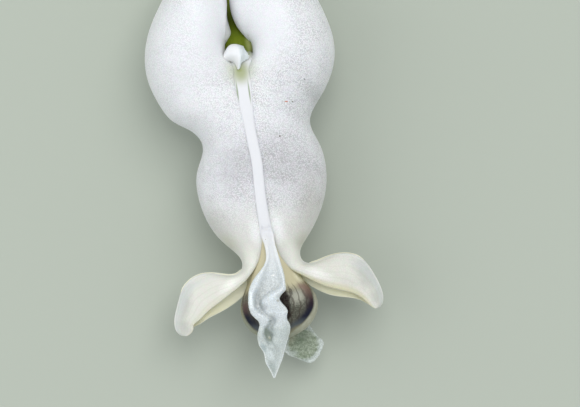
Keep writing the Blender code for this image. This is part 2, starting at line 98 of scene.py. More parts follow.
LEFT_RIBS = (
    (-0.25, 0.62, -0.33, 0.46, 0.22, 0.26, 0.00),  # base, beside the stalk
    (-0.30, 0.86, -0.42, 0.34, 0.26, 0.50, 0.00),
    (-0.35, 1.33, -0.52, 0.24, 0.30, 0.80, 0.00),
    (-0.28, 1.88, -0.56, 0.18, 0.24, 1.08, 0.00),
    (-0.50, 2.78, -0.57, 0.08, 0.26, 1.35, 0.00),
    (-1.14, 3.41, -0.57, -0.02, 0.30, 1.75, 0.00),  # top of the spur
    (-1.97, 3.13, -0.55, -0.12, 0.36, 2.05, 0.00),
    (-2.74, 2.16, -0.51, -0.24, 0.46, 2.20, 0.00),
    (-3.32, 1.17, -0.45, -0.36, 0.60, 2.25, 0.00),
    (-3.63, 0.18, -0.37, -0.51, 0.80, 2.25, 0.00),  # widest
    (-3.63, -0.77, -0.31, -0.70, 1.00, 2.20, 0.00),
    (-3.34, -1.68, -0.33, -1.01, 1.22, 2.10, 0.00),
    (-2.88, -2.42, -0.34, -1.43, 1.37, 2.00, 0.00),
    (-2.22, -2.88, -0.24, -1.97, 1.48, 1.88, 0.00),
    (-1.86, -3.54, -0.08, -2.86, 1.50, 1.78, 0.00),  # waist
    (-2.17, -4.37, -0.01, -3.86, 1.50, 1.75, 0.00),
    (-2.28, -5.23, 0.03, -4.82, 1.50, 1.75, 0.00),  # belly
    (-2.09, -6.21, 0.03, -5.77, 1.46, 1.68, 0.00),
    (-1.60, -7.14, 0.02, -6.68, 1.45, 1.52, 0.00),
    (-1.00, -7.82, -0.08, -7.51, 1.38, 1.42, 0.00),  # neck
    (-0.93, -8.21, -0.29, -8.10, 1.20, 1.24, 0.14),
    (-1.23, -8.48, -0.76, -8.67, 0.96, 0.98, 0.38),
    (-1.87, -8.37, -1.38, -9.11, 0.76, 0.77, 0.45),
    (-2.58, -8.30, -1.96, -9.45, 0.60, 0.60, 0.38),  # turned-out wing
    (-3.21, -8.66, -2.45, -9.75, 0.50, 0.50, 0.26),
    (-3.53, -9.29, -2.81, -10.04, 0.40, 0.40, 0.15),
    (-3.74, -9.91, -3.03, -10.20, 0.30, 0.30, 0.05),
    (-3.75, -10.16, -3.05, -10.34, 0.26, 0.26, 0.00),
    (-3.70, -10.36, -3.15, -10.48, 0.23, 0.23, 0.00),
    (-3.54, -10.54, -3.34, -10.57, 0.19, 0.19, 0.00),  # tip
)

# Inner petals, claw and hooded blade, from the receptacle to the closed mouth: middle x, y; half
# width; height of the edges; height of the crown above the edges; roundness of the crown.
INNER_PROFILE = (
    (-0.03, -0.10, 0.36, 0.20, 0.34, 0.80),  # foot, on the receptacle
    (-0.03, -0.26, 0.50, 0.52, 0.42, 0.80),
    (-0.03, -0.45, 0.52, 0.86, 0.36, 0.75),
    (-0.05, -0.75, 0.48, 1.20, 0.22, 0.60),
    (-0.06, -1.15, 0.42, 1.40, 0.16, 0.60),
    (-0.06, -1.55, 0.37, 1.47, 0.15, 0.60),
    (-0.05, -2.00, 0.31, 1.54, 0.14, 0.60),
    (-0.01, -2.74, 0.22, 1.58, 0.14, 0.60),
    (0.05, -3.60, 0.21, 1.60, 0.13, 0.60),  # claw, lying on the seam
    (0.11, -4.35, 0.21, 1.60, 0.13, 0.60),
    (0.10, -5.00, 0.21, 1.59, 0.13, 0.60),
    (0.09, -5.70, 0.21, 1.56, 0.14, 0.60),
    (0.11, -6.40, 0.22, 1.50, 0.15, 0.65),
    (0.14, -6.95, 0.26, 1.38, 0.18, 0.75),
    (0.16, -7.30, 0.36, 1.22, 0.26, 0.80),
    (0.18, -7.60, 0.46, 0.98, 0.46, 0.80),
    (0.19, -8.00, 0.65, 0.62, 0.80, 0.90),
    (0.20, -8.45, 0.86, 0.42, 0.94, 0.90),
    (0.23, -8.90, 1.06, 0.18, 1.13, 0.95),
    (0.27, -9.35, 1.33, 0.02, 1.25, 1.00),
    (0.28, -9.85, 1.48, 0.02, 1.25, 1.00),  # hood, widest
    (0.26, -10.35, 1.37, 0.02, 1.12, 1.00),
    (0.22, -10.75, 1.07, 0.02, 0.86, 1.00),
    (0.20, -11.00, 0.63, 0.02, 0.50, 1.00),
    (0.20, -11.11, 0.26, 0.02, 0.24, 1.00),
    (0.20, -11.15, 0.06, 0.01, 0.05, 1.00),  # closed mouth
)

# Crests: an open, wavy gutter that stands on the back of each inner petal and runs out past it.
# y; left lip's outer and inner edge; right lip's inner and outer edge; height of the left lip,
# of the right lip, of the gutter's floor and of its root.
FRONT_CREST = (
    (-6.30, 0.05, 0.09, 0.15, 0.19, 1.60, 1.60, 1.60, 1.45),  # grows out of the claw
    (-6.70, 0.00, 0.07, 0.20, 0.27, 1.59, 1.59, 1.59, 1.42),
    (-7.05, -0.06, 0.04, 0.28, 0.39, 1.575, 1.575, 1.57, 1.38),
    (-7.40, -0.01, 0.12, 0.29, 0.42, 1.60, 1.60, 1.58, 1.28),
    (-7.95, 0.01, 0.14, 0.36, 0.50, 1.68, 1.68, 1.62, 1.10),
    (-8.32, -0.17, -0.04, 0.42, 0.57, 1.80, 1.82, 1.66, 1.10),
    (-8.70, -0.55, -0.22, 0.46, 0.63, 1.92, 1.94, 1.66, 1.12),
    (-9.08, -0.78, -0.44, 0.44, 0.64, 2.02, 2.04, 1.66, 1.15),
    (-9.29, -0.83, -0.58, 0.06, 0.60, 2.06, 2.14, 1.66, 1.15),
    (-9.50, -0.86, -0.62, -0.30, 0.37, 2.08, 2.18, 1.64, 1.15),
    (-9.75, -0.87, -0.62, -0.34, 0.44, 2.06, 2.14, 1.66, 1.15),
    (-9.98, -0.82, -0.49, -0.26, 0.59, 1.98, 2.06, 1.76, 1.12),
    (-10.14, -0.72, -0.31, -0.10, 0.58, 1.93, 2.02, 1.84, 1.06),
    (-10.36, -0.56, -0.14, 0.12, 0.54, 1.86, 1.95, 1.66, 0.98),
    (-10.58, -0.59, -0.31, -0.04, 0.62, 1.80, 1.90, 1.54, 0.90),
    (-10.85, -0.68, -0.38, -0.07, 0.59, 1.76, 1.84, 1.34, 0.80),
    (-11.08, -0.68, -0.36, -0.12, 0.49, 1.70, 1.76, 1.42, 0.80),
    (-11.28, -0.64, -0.30, -0.06, 0.40, 1.66, 1.70, 1.56, 0.98),
    (-11.52, -0.52, -0.32, 0.06, 0.30, 1.56, 1.60, 1.51, 1.12),
    (-11.84, -0.50, -0.36, 0.03, 0.17, 1.48, 1.50, 1.41, 1.14),
    (-12.06, -0.43, -0.33, -0.05, 0.05, 1.42, 1.43, 1.36, 1.15),
    (-12.30, -0.33, -0.27, -0.13, -0.08, 1.35, 1.35, 1.31, 1.15),
    (-12.52, -0.26, -0.24, -0.22, -0.20, 1.28, 1.28, 1.27, 1.19),
)
BACK_CREST = (
    (-6.90, 0.04, 0.12, 0.21, 0.30, 1.56, 1.56, 1.56, 1.42),
    (-7.40, 0.00, 0.12, 0.28, 0.41, 1.60, 1.60, 1.58, 1.28),
    (-8.00, 0.00, 0.12, 0.34, 0.46, 1.70, 1.70, 1.60, 1.10),
    (-8.50, -0.22, 0.02, 0.40, 0.60, 1.94, 1.94, 1.62, 1.10),
    (-9.00, -0.40, -0.12, 0.46, 0.74, 2.18, 2.18, 1.62, 1.15),
    (-9.50, -0.36, -0.10, 0.40, 0.70, 2.24, 2.24, 1.62, 1.15),
    (-10.00, -0.20, 0.05, 0.62, 0.92, 2.12, 2.12, 1.54, 1.10),
    (-10.40, -0.02, 0.20, 0.92, 1.16, 1.84, 1.84, 1.36, 0.98),
    (-10.70, 0.06, 0.26, 1.12, 1.32, 1.56, 1.56, 1.22, 0.90),
    (-10.95, 0.12, 0.30, 1.28, 1.46, 1.36, 1.36, 1.14, 0.88),
    (-11.20, 0.16, 0.34, 1.42, 1.61, 1.22, 1.22, 1.08, 0.88),
    (-11.40, 0.20, 0.38, 1.60, 1.79, 1.16, 1.16, 1.05, 0.88),
    (-11.68, 0.30, 0.48, 1.54, 1.71, 1.12, 1.12, 1.03, 0.88),
    (-11.90, 0.64, 0.78, 1.44, 1.58, 1.10, 1.10, 1.02, 0.88),
    (-12.07, 0.94, 1.05, 1.29, 1.41, 1.06, 1.06, 1.01, 0.88),
    (-12.16, 1.10, 1.15, 1.22, 1.27, 1.03, 1.03, 1.01, 0.90),
)
LIP_ROUNDING = 0.35  # of the lips' height over the gutter's floor
LIP_BLEND = -0.02, 0.08  # distances from a lip over which its milky flesh ends
CREST_FOOT = 0.12  # half the root's width, as a share of the crest's
FRONT_RUFFLE, BACK_RUFFLE = 0.003, 0.012  # how far a crest's small waves go
RIM_WIDTH = 0.07  # of the painted pale line, a painted highlight, along the crest's outline

# The lobe at the free end of the back crest: its middle, where its cupping begins and is full, how
# far it rises a millimetre from its middle, and the squared distances over which its rim begins
LOBE_X, LOBE_Y = 1.00, -11.43
LOBE_STARTS_Y = -10.5, -11.2
LOBE_CUPPING = 0.35
LOBE_RIM = 0.20, 0.48

# Sepals: rows from the foot on the receptacle to the free tip; in each the points x, y, z from the
# left margin over the fold to the right margin.
SEPAL_ROWS = (
    ((-0.22, 0.12, 0.40), (-0.14, 0.15, 0.45), (-0.05, 0.16, 0.47),
     (0.04, 0.15, 0.45), (0.12, 0.12, 0.40)),
    ((-0.40, 0.13, 0.80), (-0.26, 0.19, 0.88), (-0.06, 0.16, 0.92),
     (0.06, 0.10, 0.84), (0.15, 0.06, 0.76)),
    ((-0.57, -0.03, 1.22), (-0.38, 0.12, 1.34), (-0.04, 0.07, 1.44),
     (0.09, 0.01, 1.28), (0.20, -0.12, 1.12)),
    ((-0.67, -0.28, 1.44), (-0.42, -0.14, 1.58), (-0.02, -0.14, 1.68),
     (0.14, -0.22, 1.44), (0.32, -0.38, 1.24)),
    ((-0.54, -0.42, 1.32), (-0.30, -0.36, 1.54), (-0.03, -0.40, 1.74),
     (0.03, -0.44, 1.52), (0.16, -0.48, 1.34)),
    ((-0.34, -0.50, 1.26), (-0.23, -0.53, 1.50), (-0.06, -0.57, 1.68),
     (-0.03, -0.58, 1.58), (-0.01, -0.58, 1.48)),
    ((-0.20, -0.76, 1.48), (-0.18, -0.80, 1.52), (-0.14, -0.80, 1.54),
     (-0.09, -0.76, 1.50), (-0.06, -0.70, 1.48)),
)
SEPAL_FOLD = 0.48, 0.56  # shares of the width between which its clear right side begins
# Waves of the ragged right margin: depth, radians over the sepal's length, start
TORN_WAVES = ((0.040, 95, 0), (0.030, 151, 1))
TORN_SIDE = 0.8, 1.0  # shares of the width over which they grow to the margin
TORN_FROM, TORN_TO = (0.2, 0.35), 0.8  # shares of the length where they begin and end

# Stalk, from the receptacle to the cut end: x, y, z, radius
STALK_PATH = (
    (-0.05, -0.38, 0.00, 0.16),
    (-0.05, -0.30, 0.02, 0.38),
    (-0.04, -0.16, 0.05, 0.56),
    (-0.04, 0.00, 0.06, 0.64),
    (-0.05, 0.16, 0.03, 0.62),
    (-0.07, 0.34, -0.06, 0.50),
    (-0.12, 0.60, -0.27, 0.36),
    (-0.16, 0.95, -0.68, 0.25),
    (-0.18, 1.40, -1.12, 0.205),
    (-0.19, 2.05, -1.50, 0.19),
    (-0.15, 3.05, -1.62, 0.19),
    (-0.02, 4.05, -1.46, 0.19),
    (0.18, 5.10, -1.06, 0.20),
    (0.44, 6.20, -0.50, 0.215),
)

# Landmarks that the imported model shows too
HOOD_MIDDLE_X = 0.28
CREST_TIP_Y = -12.52

# ------------------------ marks and places of colour

# Each row of the tables of marks, of painted light and of painted shade is an ellipse on the flower's
# face: x, y; half width and half height; turn in degrees; the share of it that is full, and its strength
# there; colour.
SPECKS = (
    (1.09, -3.48, 0.042, 0.042, 0, 0.6, 0.9, (0.06, 0.05, 0.03)),
    (1.49, -2.22, 0.085, 0.030, -7, 0.6, 0.9, (0.50, 0.14, 0.07)),
    (1.72, -2.25, 0.035, 0.035, 0, 0.6, 0.9, (0.12, 0.10, 0.08)),
    (2.27, -1.47, 0.035, 0.035, 0, 0.6, 0.9, (0.14, 0.13, 0.13)),
)
# Painted shade on the tips of the wings, which turn away from the light
WING_TIP_SHADE = (
    (4.10, -9.90, 0.50, 0.75, -20, 0.15, 0.85, (0.49, 0.51, 0.47)),
    (3.75, -9.10, 0.60, 1.10, 30, 0.15, 0.85, (0.49, 0.51, 0.47)),
    (-3.45, -10.25, 0.45, 0.75, 15, 0.15, 0.85, (0.49, 0.51, 0.47)),
    (-3.30, -9.40, 0.40, 1.10, -20, 0.15, 0.85, (0.49, 0.51, 0.47)),
)
# Painted light and painted shade on the petals, and in the last row the green tint that spreads from the
# receptacle
PETAL_LIGHT_SHADE_AND_TINTS = (
    (0.00, -1.40, 1.70, 2.40, 0, 0.0, 0.8, (0.95, 0.95, 0.94)),  # painted light beside the claw's foot
    (-1.30, -1.90, 1.70, 1.40, 0, 0.0, 1.0, (0.99, 0.99, 0.99)),  # painted light on the left waist
    (2.90, 0.80, 1.30, 2.60, 0, 0.0, 1.0, (0.99, 0.99, 1.00)),  # painted light on the top of the right spur
    (0.10, -4.25, 1.90, 1.30, 0, 0.0, 0.55, (0.58, 0.58, 0.60)),  # painted shade over the seam
    # painted shade between the right waist and the belly
    (0.95, -3.60, 1.10, 0.90, 0, 0.0, 0.35, (0.58, 0.58, 0.60)),
    (1.18, -4.75, 1.80, 1.90, 0, 0.0, 0.75, (0.58, 0.58, 0.59)),  # painted shade on the right belly
    (1.90, -6.10, 0.90, 1.80, -15, 0.0, 0.70, (0.58, 0.575, 0.54)),
    (2.60, -2.15, 0.50, 0.90, 20, 0.0, 0.70, (0.58, 0.59, 0.59)),  # painted shade at the right waist
    (-0.90, -4.45, 1.30, 1.50, 0, 0.0, 0.70, (0.58, 0.58, 0.60)),  # painted shade on the left belly
    (-1.75, -6.60, 0.90, 1.40, 20, 0.0, 0.75, (0.58, 0.575, 0.54)),
    (-0.25, -6.90, 0.40, 0.90, 5, 0.0, 0.8, (0.95, 0.95, 0.92)),  # painted light beside the claw, lower down
    (0.60, -6.90, 0.40, 0.90, 5, 0.0, 0.8, (0.95, 0.95, 0.92)),
    # painted shade, yellowish, on the outer sides of the neck
    (-1.35, -7.25, 0.45, 0.70, 35, 0.0, 0.8, (0.56, 0.56, 0.46)),
    (1.40, -7.55, 0.40, 0.70, -35, 0.0, 0.8, (0.56, 0.56, 0.46)),
    (-0.60, -7.95, 0.45, 0.80, 10, 0.0, 0.9, (0.96, 0.95, 0.82)),  # painted light on the neck
    (1.05, -8.00, 0.45, 0.80, 10, 0.0, 0.9, (0.96, 0.95, 0.82)),
    (-1.45, -8.80, 0.80, 0.30, 38, 0.0, 0.8, (0.96, 0.96, 0.88)),  # painted light on the left wing, near the neck
    (1.90, -8.80, 0.80, 0.28, -25, 0.0, 0.7, (0.96, 0.96, 0.90)),
    (3.05, -9.30, 0.90, 0.45, -25, 0.0, 0.6, (0.60, 0.60, 0.56)),  # painted shade on the right wing's lower side
    (-0.08, -0.80, 1.00, 0.80, 0, 0.0, 0.9, (0.54, 0.58, 0.42)),  # green from the receptacle
)
# Marks on the crest, among them painted light, painted shade and a painted highlight
CREST_PATCHES = (
    (-0.78, -9.45, 0.16, 0.60, 0, 0.3, 0.6, (0.84, 0.92, 0.95)),  # painted light on the outside of the left lip
    (-0.30, -9.80, 0.17, 0.20, 40, 0.3, 0.3, (0.26, 0.28, 0.27)),  # shade in the gutter's bend
    # painted shade in the gutter beside the left lip
    (-0.42, -9.52, 0.10, 0.32, 2, 0.3, 0.5, (0.42, 0.45, 0.44)),
    (0.10, -9.52, 0.22, 0.30, 20, 0.3, 0.5, (0.66, 0.74, 0.78)),  # the fold's shaded body
    (0.20, -8.66, 0.12, 0.045, 5, 0.3, 0.8, (0.90, 0.90, 0.88)),  # a painted highlight
    (-0.27, -10.86, 0.13, 0.30, 12, 0.7, 0.8, (0.32, 0.37, 0.31)),  # painted shade in the lower hollow
    (-0.12, -10.72, 0.06, 0.22, 28, 0.2, 0.6, (0.82, 0.88, 0.88)),  # painted light on the fold beside it
    (-0.22, -10.98, 0.05, 0.07, 0, 0.5, 0.7, (0.70, 0.68, 0.58)),
    (-0.15, -10.36, 0.12, 0.05, 20, 0.3, 0.5, (0.20, 0.24, 0.22)),
    (0.02, -10.13, 0.14, 0.12, 0, 0.3, 0.5, (0.46, 0.50, 0.49)),
    (0.26, -9.62, 0.07, 0.07, 0, 0.3, 0.6, (0.34, 0.32, 0.24)),
    (-0.52, -11.35, 0.20, 0.35, 20, 0.3, 0.5, (0.30, 0.38, 0.39)),
    (-0.28, -12.15, 0.22, 0.35, 5, 0.3, 0.6, (0.36, 0.42, 0.40)),
    (-0.28, -11.60, 0.18, 0.34, 20, 0.3, 0.6, (0.72, 0.79, 0.79)),
    (0.08, -7.28, 0.022, 0.022, 0, 0.3, 0.9, (0.20, 0.15, 0.10)),  # a brown speck
)
# Green tints on the claw near the receptacle, and in the last two rows painted shadow in the slits
# between the claw and the petals' edges
GREEN_TINTS_AND_SLIT_SHADOWS = (
    (-0.08, -0.90, 0.52, 0.66, 0, 0.15, 0.9, (0.34, 0.38, 0.20)),
    (-0.12, -0.84, 0.16, 0.09, 0, 0.15, 0.5, (0.28, 0.32, 0.10)),
    (0.00, -0.25, 0.60, 0.30, 0, 0.15, 0.9, (0.24, 0.32, 0.03)),
    # painted shadow in the slits beside the claw
    (-0.295, -1.62, 0.045, 0.62, 1, 0.15, 0.9, (0.24, 0.31, 0.18)),
    (0.15, -1.68, 0.045, 0.64, 1, 0.15, 0.9, (0.24, 0.31, 0.18)),
)
# Painted light on the sides of the hood's neck, which the wings shade
NECK_SIDE_LIGHT = (
    (1.22, -8.84, 0.22, 0.42, 50, 0.3, 0.9, (0.93, 0.90, 0.66)),
    (-0.86, -8.72, 0.18, 0.42, -35, 0.3, 0.9, (0.93, 0.90, 0.66)),
)
HOOD_HAZE = ((1.02, -9.55, 0.45, 0.38, 20, 0.2, 0.85, (0.42, 0.42, 0.35)),)
HOOD_MAUVE = ((1.22, -9.22, 0.30, 0.16, -35, 0.0, 0.7, (0.24, 0.17, 0.14)),)
HOOD_OLIVE = ((0.80, -10.85, 0.60, 0.22, 20, 0.3, 0.8, (0.27, 0.25, 0.16)),)
LOBE_GREEN = ((0.98, -11.25, 0.40, 0.35, 0, 0.0, 0.7, (0.10, 0.145, 0.085)),)
LOBE_PALE = (
    (1.35, -11.10, 0.35, 0.30, 0, 0.0, 0.7, (0.30, 0.35, 0.28)),
    (0.60, -11.72, 0.30, 0.18, -25, 0.0, 0.8, (0.42, 0.48, 0.44)),
)
LOBE_KHAKI = ((0.45, -10.95, 0.45, 0.60, 0, 0.0, 0.8, (0.30, 0.28, 0.16)),)

# Ellipses without a colour: x, y; half width and half height; turn in degrees
SMOOTH_PLACE = (0.2, 1.1, 3.0, 3.0, 0)  # where the petals' cells show least
DARK_PLACE = (0.45, -9.95, 0.33, 0.85, -8)  # on the hood, right of the crest

# The hood's outline on its lower half: middle and half axes
HOOD_X, HOOD_Y, HOOD_HALF_X, HOOD_HALF_Y = 0.27, -9.75, 1.47, 1.36

# Heights y between which one colour gives way to the next
WING_Y = -7.8, -8.5
NECK_Y = -7.1, -7.5
CHEEK_Y = -9.0, -9.45
STAIN_Y = -9.18, -9.56
STAIN_SLANT = 0.18  # how much higher the stain begins for each millimetre to the right

CELLS_PER_MM = 23
CLAW_WHITE, CLAW_SHADE = (0.74, 0.75, 0.775), (0.70, 0.715, 0.74)

# ------------------------ shapes


def spline(rows, count):
    """count rows of numbers on one smooth curve (a natural cubic) through the given rows, with the
    first three numbers' distances as its pace."""
    rows = np.array(rows, float)
    steps = np.linalg.norm(np.diff(rows[:, : min(3, rows.shape[1])], axis=0), axis=1)
    knots = np.concatenate([[0], np.cumsum(np.sqrt(steps))])
    gaps = np.diff(knots)
    system, bends = np.eye(len(rows)), np.zeros_like(rows)
    for i in range(1, len(rows) - 1):
        system[i, i - 1 : i + 2] = gaps[i - 1], 2 * (gaps[i - 1] + gaps[i]), gaps[i]
        bends[i] = 6 * ((rows[i + 1] - rows[i]) / gaps[i] - (rows[i] - rows[i - 1]) / gaps[i - 1])
    second = np.linalg.solve(system, bends)
    at = np.linspace(0, knots[-1], count)
    cell = np.clip(np.searchsorted(knots, at) - 1, 0, len(rows) - 2)
    gap = gaps[cell][:, None]
    after = (at - knots[cell])[:, None]
    before = gap - after
    return (
        second[cell] * before**3 / (6 * gap)
        + second[cell + 1] * after**3 / (6 * gap)
        + (rows[cell] / gap - second[cell] * gap / 6) * before
        + (rows[cell + 1] / gap - second[cell + 1] * gap / 6) * after
    )


def smoothstep(low, high, value):
    """0 up to low, 1 from high on, smooth between; low may be the greater of the two."""
    share = np.clip((np.asarray(value, float) - low) / (high - low), 0, 1)
    return share * share * (3 - 2 * share)


def grid_mesh(name, grid, around=False, flip=False):
    """A mesh of quads over a grid of points. If asked, its columns are joined round and its ends
    closed, and its faces turned over."""
    rows, columns = grid.shape[:2]
    faces = []
    for i in range(rows - 1):
        for j in range(columns if around else columns - 1):
            k = (j + 1) % columns
            face = (i * columns + j, i * columns + k, (i + 1) * columns + k, (i + 1) * columns + j)
            faces.append(face[::-1] if flip else face)
    if around:
        first = tuple(range(columns))
        last = tuple((rows - 1) * columns + j for j in range(columns))
        faces.append(first if flip else first[::-1])
        faces.append(last[::-1] if flip else last)
    mesh = bpy.data.meshes.new(name)
    mesh.from_pydata(grid.reshape(-1, 3).tolist(), [], faces)
    mesh.update()
    mesh.shade_smooth()
    return mesh


def put_values(mesh, name, values):
    """One number on each point, which a material reads by name."""
    made = mesh.attributes.new(name, "FLOAT", "POINT")
    made.data.foreach_set("value", np.asarray(values, "f").ravel())


def piece(name, mesh, node, slot, *materials):
    """A visible piece in the flower's millimetres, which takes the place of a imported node."""
    obj = bpy.data.objects.new(name, mesh)
    for material in materials:
        mesh.materials.append(material)
    bpy.context.scene.collection.objects.link(obj)
    obj.location = flower_place
    obj.scale = (MM, MM, MM)
    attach(obj, "root")
    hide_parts(node)
    return obj


def rounded(obj, wall=None):
    """Gives an open sheet its thickness, inward, and rounds the whole. The inside takes the second
    material and the rim the third, where the piece has them."""
    if wall:
        solid = obj.modifiers.new("Wall", "SOLIDIFY")
        solid.thickness = wall
        solid.offset = -1
        solid.use_even_offset = False
        solid.material_offset = 1
        solid.material_offset_rim = 2
    smooth = obj.modifiers.new("Smooth", "SUBSURF")
    smooth.levels = smooth.render_levels = 1


def outer_petal(name, node, ribs, flip, stations=150, half_round=30):
    """A pouched petal: one thin shell, with its spur closed and its front and back edges free.
    Its value across is 0 on the front edge, 1 on the keel and 2 on the back edge."""
    grid, across = [], []
    for keel_x, keel_y, edge_x, edge_y, edge_z, depth, drop in spline(ribs, stations):
        edge_z += SEAM_LIFT * (depth - edge_z) * smoothstep(*SEAM_LIFT_Y, edge_y)
        depth = max(depth, edge_z)
        cupped = BACK_CUPPING * smoothstep(0.0, CUPPED_DROP, drop)
        start = -math.acos(edge_z / depth)
        rib, shares = [], []
        for angle in np.linspace(start, math.pi - start, 2 * half_round + 1):
            share = (math.sin(angle) - math.sin(start)) / (1 - math.sin(start))
            back = angle > math.pi / 2
            low_y = edge_y - (drop if back else 0.0)
            high = depth * math.cos(angle) * (1 - cupped if back else 1.0)
            rib.append((edge_x + share * (keel_x - edge_x), low_y + share * (keel_y - low_y), high))
            shares.append(share if angle < math.pi / 2 else 2 - share)
        grid.append(rib)
        across.append(shares)
    mesh = grid_mesh(name, np.array(grid), flip=flip)
    put_values(mesh, "across", across)
    skins = petal_white, petal_inside, petal_rim
    rounded(piece(name, mesh, node, "outer_petal", *skins), OUTER_WALL)


def hood_sections(stations=150, half_round=24):
    """Closed sections of claw and blade: an arched outer face and, a wall below it, the hollow.
    A point's meridian runs from 0 at the right margin to 1 at the left one."""
    sections, meridians = [], []
    angles = np.linspace(0, math.pi, half_round + 1)
    for x, y, half, edge_z, crown, roundness in spline(INNER_PROFILE, stations):
        wall = min(INNER_WALL, 0.5 * half, 0.6 * crown)  # thinner where the section is small
        loop = []
        for sink, turns in ((0.0, angles), (wall, angles[::-1])):
            for angle in turns:
                side = math.copysign(abs(math.cos(angle)) ** roundness, math.cos(angle))
                rise = max(math.sin(angle), 0.0) ** roundness
                loop.append((x + side * (half - sink), y, edge_z + rise * (crown - sink)))
        sections.append(loop)
        meridians.append(np.concatenate([angles, angles[::-1]]) / math.pi)
    return np.array(sections), np.array(meridians)


def cut_corners(loop, times):
    """A closed line with its corners cut again and again, which rounds it."""
    for _ in range(times):
        ahead = np.roll(loop, -1, axis=0)
        loop = np.stack([0.75 * loop + 0.25 * ahead, 0.25 * loop + 0.75 * ahead], 1).reshape(-1, 2)
    return loop


def crest_half(out, inner, far, lip_z, floor, root_x, root_z):
    """One half of the crest's section as x, z corners: from the root up the outside of its lip, over
    the lip and down to the gutter's floor; far is the inner edge of the other lip."""
    edge_z = lip_z - LIP_ROUNDING * (lip_z - floor)
    return [
        (root_x, root_z),
        (0.45 * out + 0.55 * root_x, 0.5 * (root_z + edge_z)),
        (0.92 * out + 0.08 * root_x, 0.15 * root_z + 0.85 * edge_z),
        (out, edge_z),
        (0.7 * out + 0.3 * inner, lip_z),
        (0.3 * out + 0.7 * inner, lip_z),
        (inner, edge_z),
        (0.8 * inner + 0.2 * far, floor),
    ]


def crest_sections(table, ruffle, stations=150, rounds=2):
    """The crest's closed sections, ruffled, with two values for its skin: lip is 1 outside the
    gutter, and edge is 1 on the outline as seen from the front."""
    sections, lips, edges = [], [], []
    for row in spline(table, stations):
        y, left_out, left_in, right_in, right_out, left_z, right_z, floor, root_z = row
        middle = (left_out + left_in + right_in + right_out) / 4
        foot = CREST_FOOT * (right_out - left_out)
        left = crest_half(left_out, left_in, right_in, left_z, floor, middle - foot, root_z)
        right = crest_half(right_out, right_in, left_in, right_z, floor, middle + foot, root_z)
        loop = cut_corners(np.array(left + right[::-1]), rounds)
        on_top = smoothstep(root_z, floor, loop[:, 1])
        inside = (loop[:, 0] > left_in) & (loop[:, 0] < right_in)
        near = np.minimum(loop[:, 0] - left_in, right_in - loop[:, 0])
        lips.append(np.where(inside, 1 - on_top * smoothstep(*LIP_BLEND, near), 1.0))
        near = np.minimum(loop[:, 0] - left_out, right_out - loop[:, 0])
        edges.append(1 - smoothstep(RIM_WIDTH / 3, RIM_WIDTH, near))
        wave = ruffle * on_top  # the waves are 0.1 to 0.3 mm long
        loop[:, 0] += wave * (math.sin(31 * y) + 0.6 * math.sin(57 * y + 1))
        loop[:, 1] += wave * np.sin(23 * y + 9 * loop[:, 0])
        sections.append([(x, y, z) for x, z in loop])
    return np.array(sections), np.array(lips), np.array(edges)


def cup_lobe(sections, edges):
    """Bends the back crest's free end to the front round the middle of its lobe, and gives the
    values of its edge with the lobe's rim."""
    away = (sections[..., 0] - LOBE_X) ** 2 + (sections[..., 1] - LOBE_Y) ** 2
    sections[..., 2] += LOBE_CUPPING * away * smoothstep(*LOBE_STARTS_Y, sections[..., 1])
    return np.maximum(edges, smoothstep(*LOBE_RIM, away))


def inner_petal(name, node, crest_table, front):
    """Claw, hooded blade and crest. The back petal is the front one mirrored, with its own crest,
    whose free end is cupped towards the front."""
    turn = np.array([1, 1, 1 if front else -1])
    sections, meridians = hood_sections()
    mesh = grid_mesh(name + "_hood", sections * turn, around=True, flip=front)
    put_values(mesh, "meridian", meridians)
    rounded(piece(name + "_hood", mesh, node, "inner_petal", hood_skin))

    sections, lips, edges = crest_sections(crest_table, FRONT_RUFFLE if front else BACK_RUFFLE)
    sections = sections * turn
    if not front:
        edges = cup_lobe(sections, edges)
    mesh = grid_mesh(name + "_crest", sections, around=True, flip=not front)
    put_values(mesh, "lip", lips)
    put_values(mesh, "edge", edges)
    skin = crest_skin if front else lobe_skin
    rounded(piece(name + "_crest", mesh, node, "inner_petal", skin))


def sepal(name, node, front, stations=50, across=33):
    """A small scale that stands up from the receptacle and bends down over the seam, folded
    lengthwise, its right side ragged."""
    columns = np.array(SEPAL_ROWS).swapaxes(0, 1)
    along = np.array([spline(column, stations) for column in columns])
    grid = np.array([spline(row, across) for row in along.swapaxes(0, 1)])
    share = np.linspace(0, 1, across)[None, :]
    down = np.linspace(0, 1, stations)[:, None]
    torn = sum(depth * np.sin(radians * down + start) for depth, radians, start in TORN_WAVES)
    torn = torn * smoothstep(*TORN_SIDE, share) * smoothstep(*TORN_FROM, down) * (down < TORN_TO)
    grid[..., 0] += torn
    grid = grid * np.array([1, 1, 1 if front else -1])
    mesh = grid_mesh(name, grid, flip=front)
    put_values(mesh, "right", np.broadcast_to(smoothstep(*SEPAL_FOLD, share), grid.shape[:2]))
    rounded(piece(name, mesh, node, "sepal", sepal_skin), SEPAL_WALL)


def stalk(stations=160, around=32):
    """Stalk and receptacle as one tube, its sections square to its path."""
    rows = spline(STALK_PATH, stations)
    centres, radius = rows[:, :3], rows[:, 3, None, None]
    ahead = np.gradient(centres, axis=0)
    ahead /= np.linalg.norm(ahead, axis=1)[:, None]
    across = np.cross(ahead, (1, 0, 0))
    across /= np.linalg.norm(across, axis=1)[:, None]
    up = np.cross(across, ahead)
    angles = np.arange(around) * 2 * math.pi / around
    rings = centres[:, None] + radius * (
        np.cos(angles)[None, :, None] * across[:, None] + np.sin(angles)[None, :, None] * up[:, None]
    )
    mesh = grid_mesh("stalk", rings, around=True, flip=True)
    rounded(piece("stalk", mesh, "pedicel_and_receptacle", "stalk", stalk_skin))


# ------------------------ materials

FLESH_DEPTH = 0.3  # how far light goes in the flesh, in millimetres
FLESH_SHARES = (1.0, 0.9, 0.75)  # of that depth, for red, green and blue
SHEEN_ROUGHNESS = 0.4


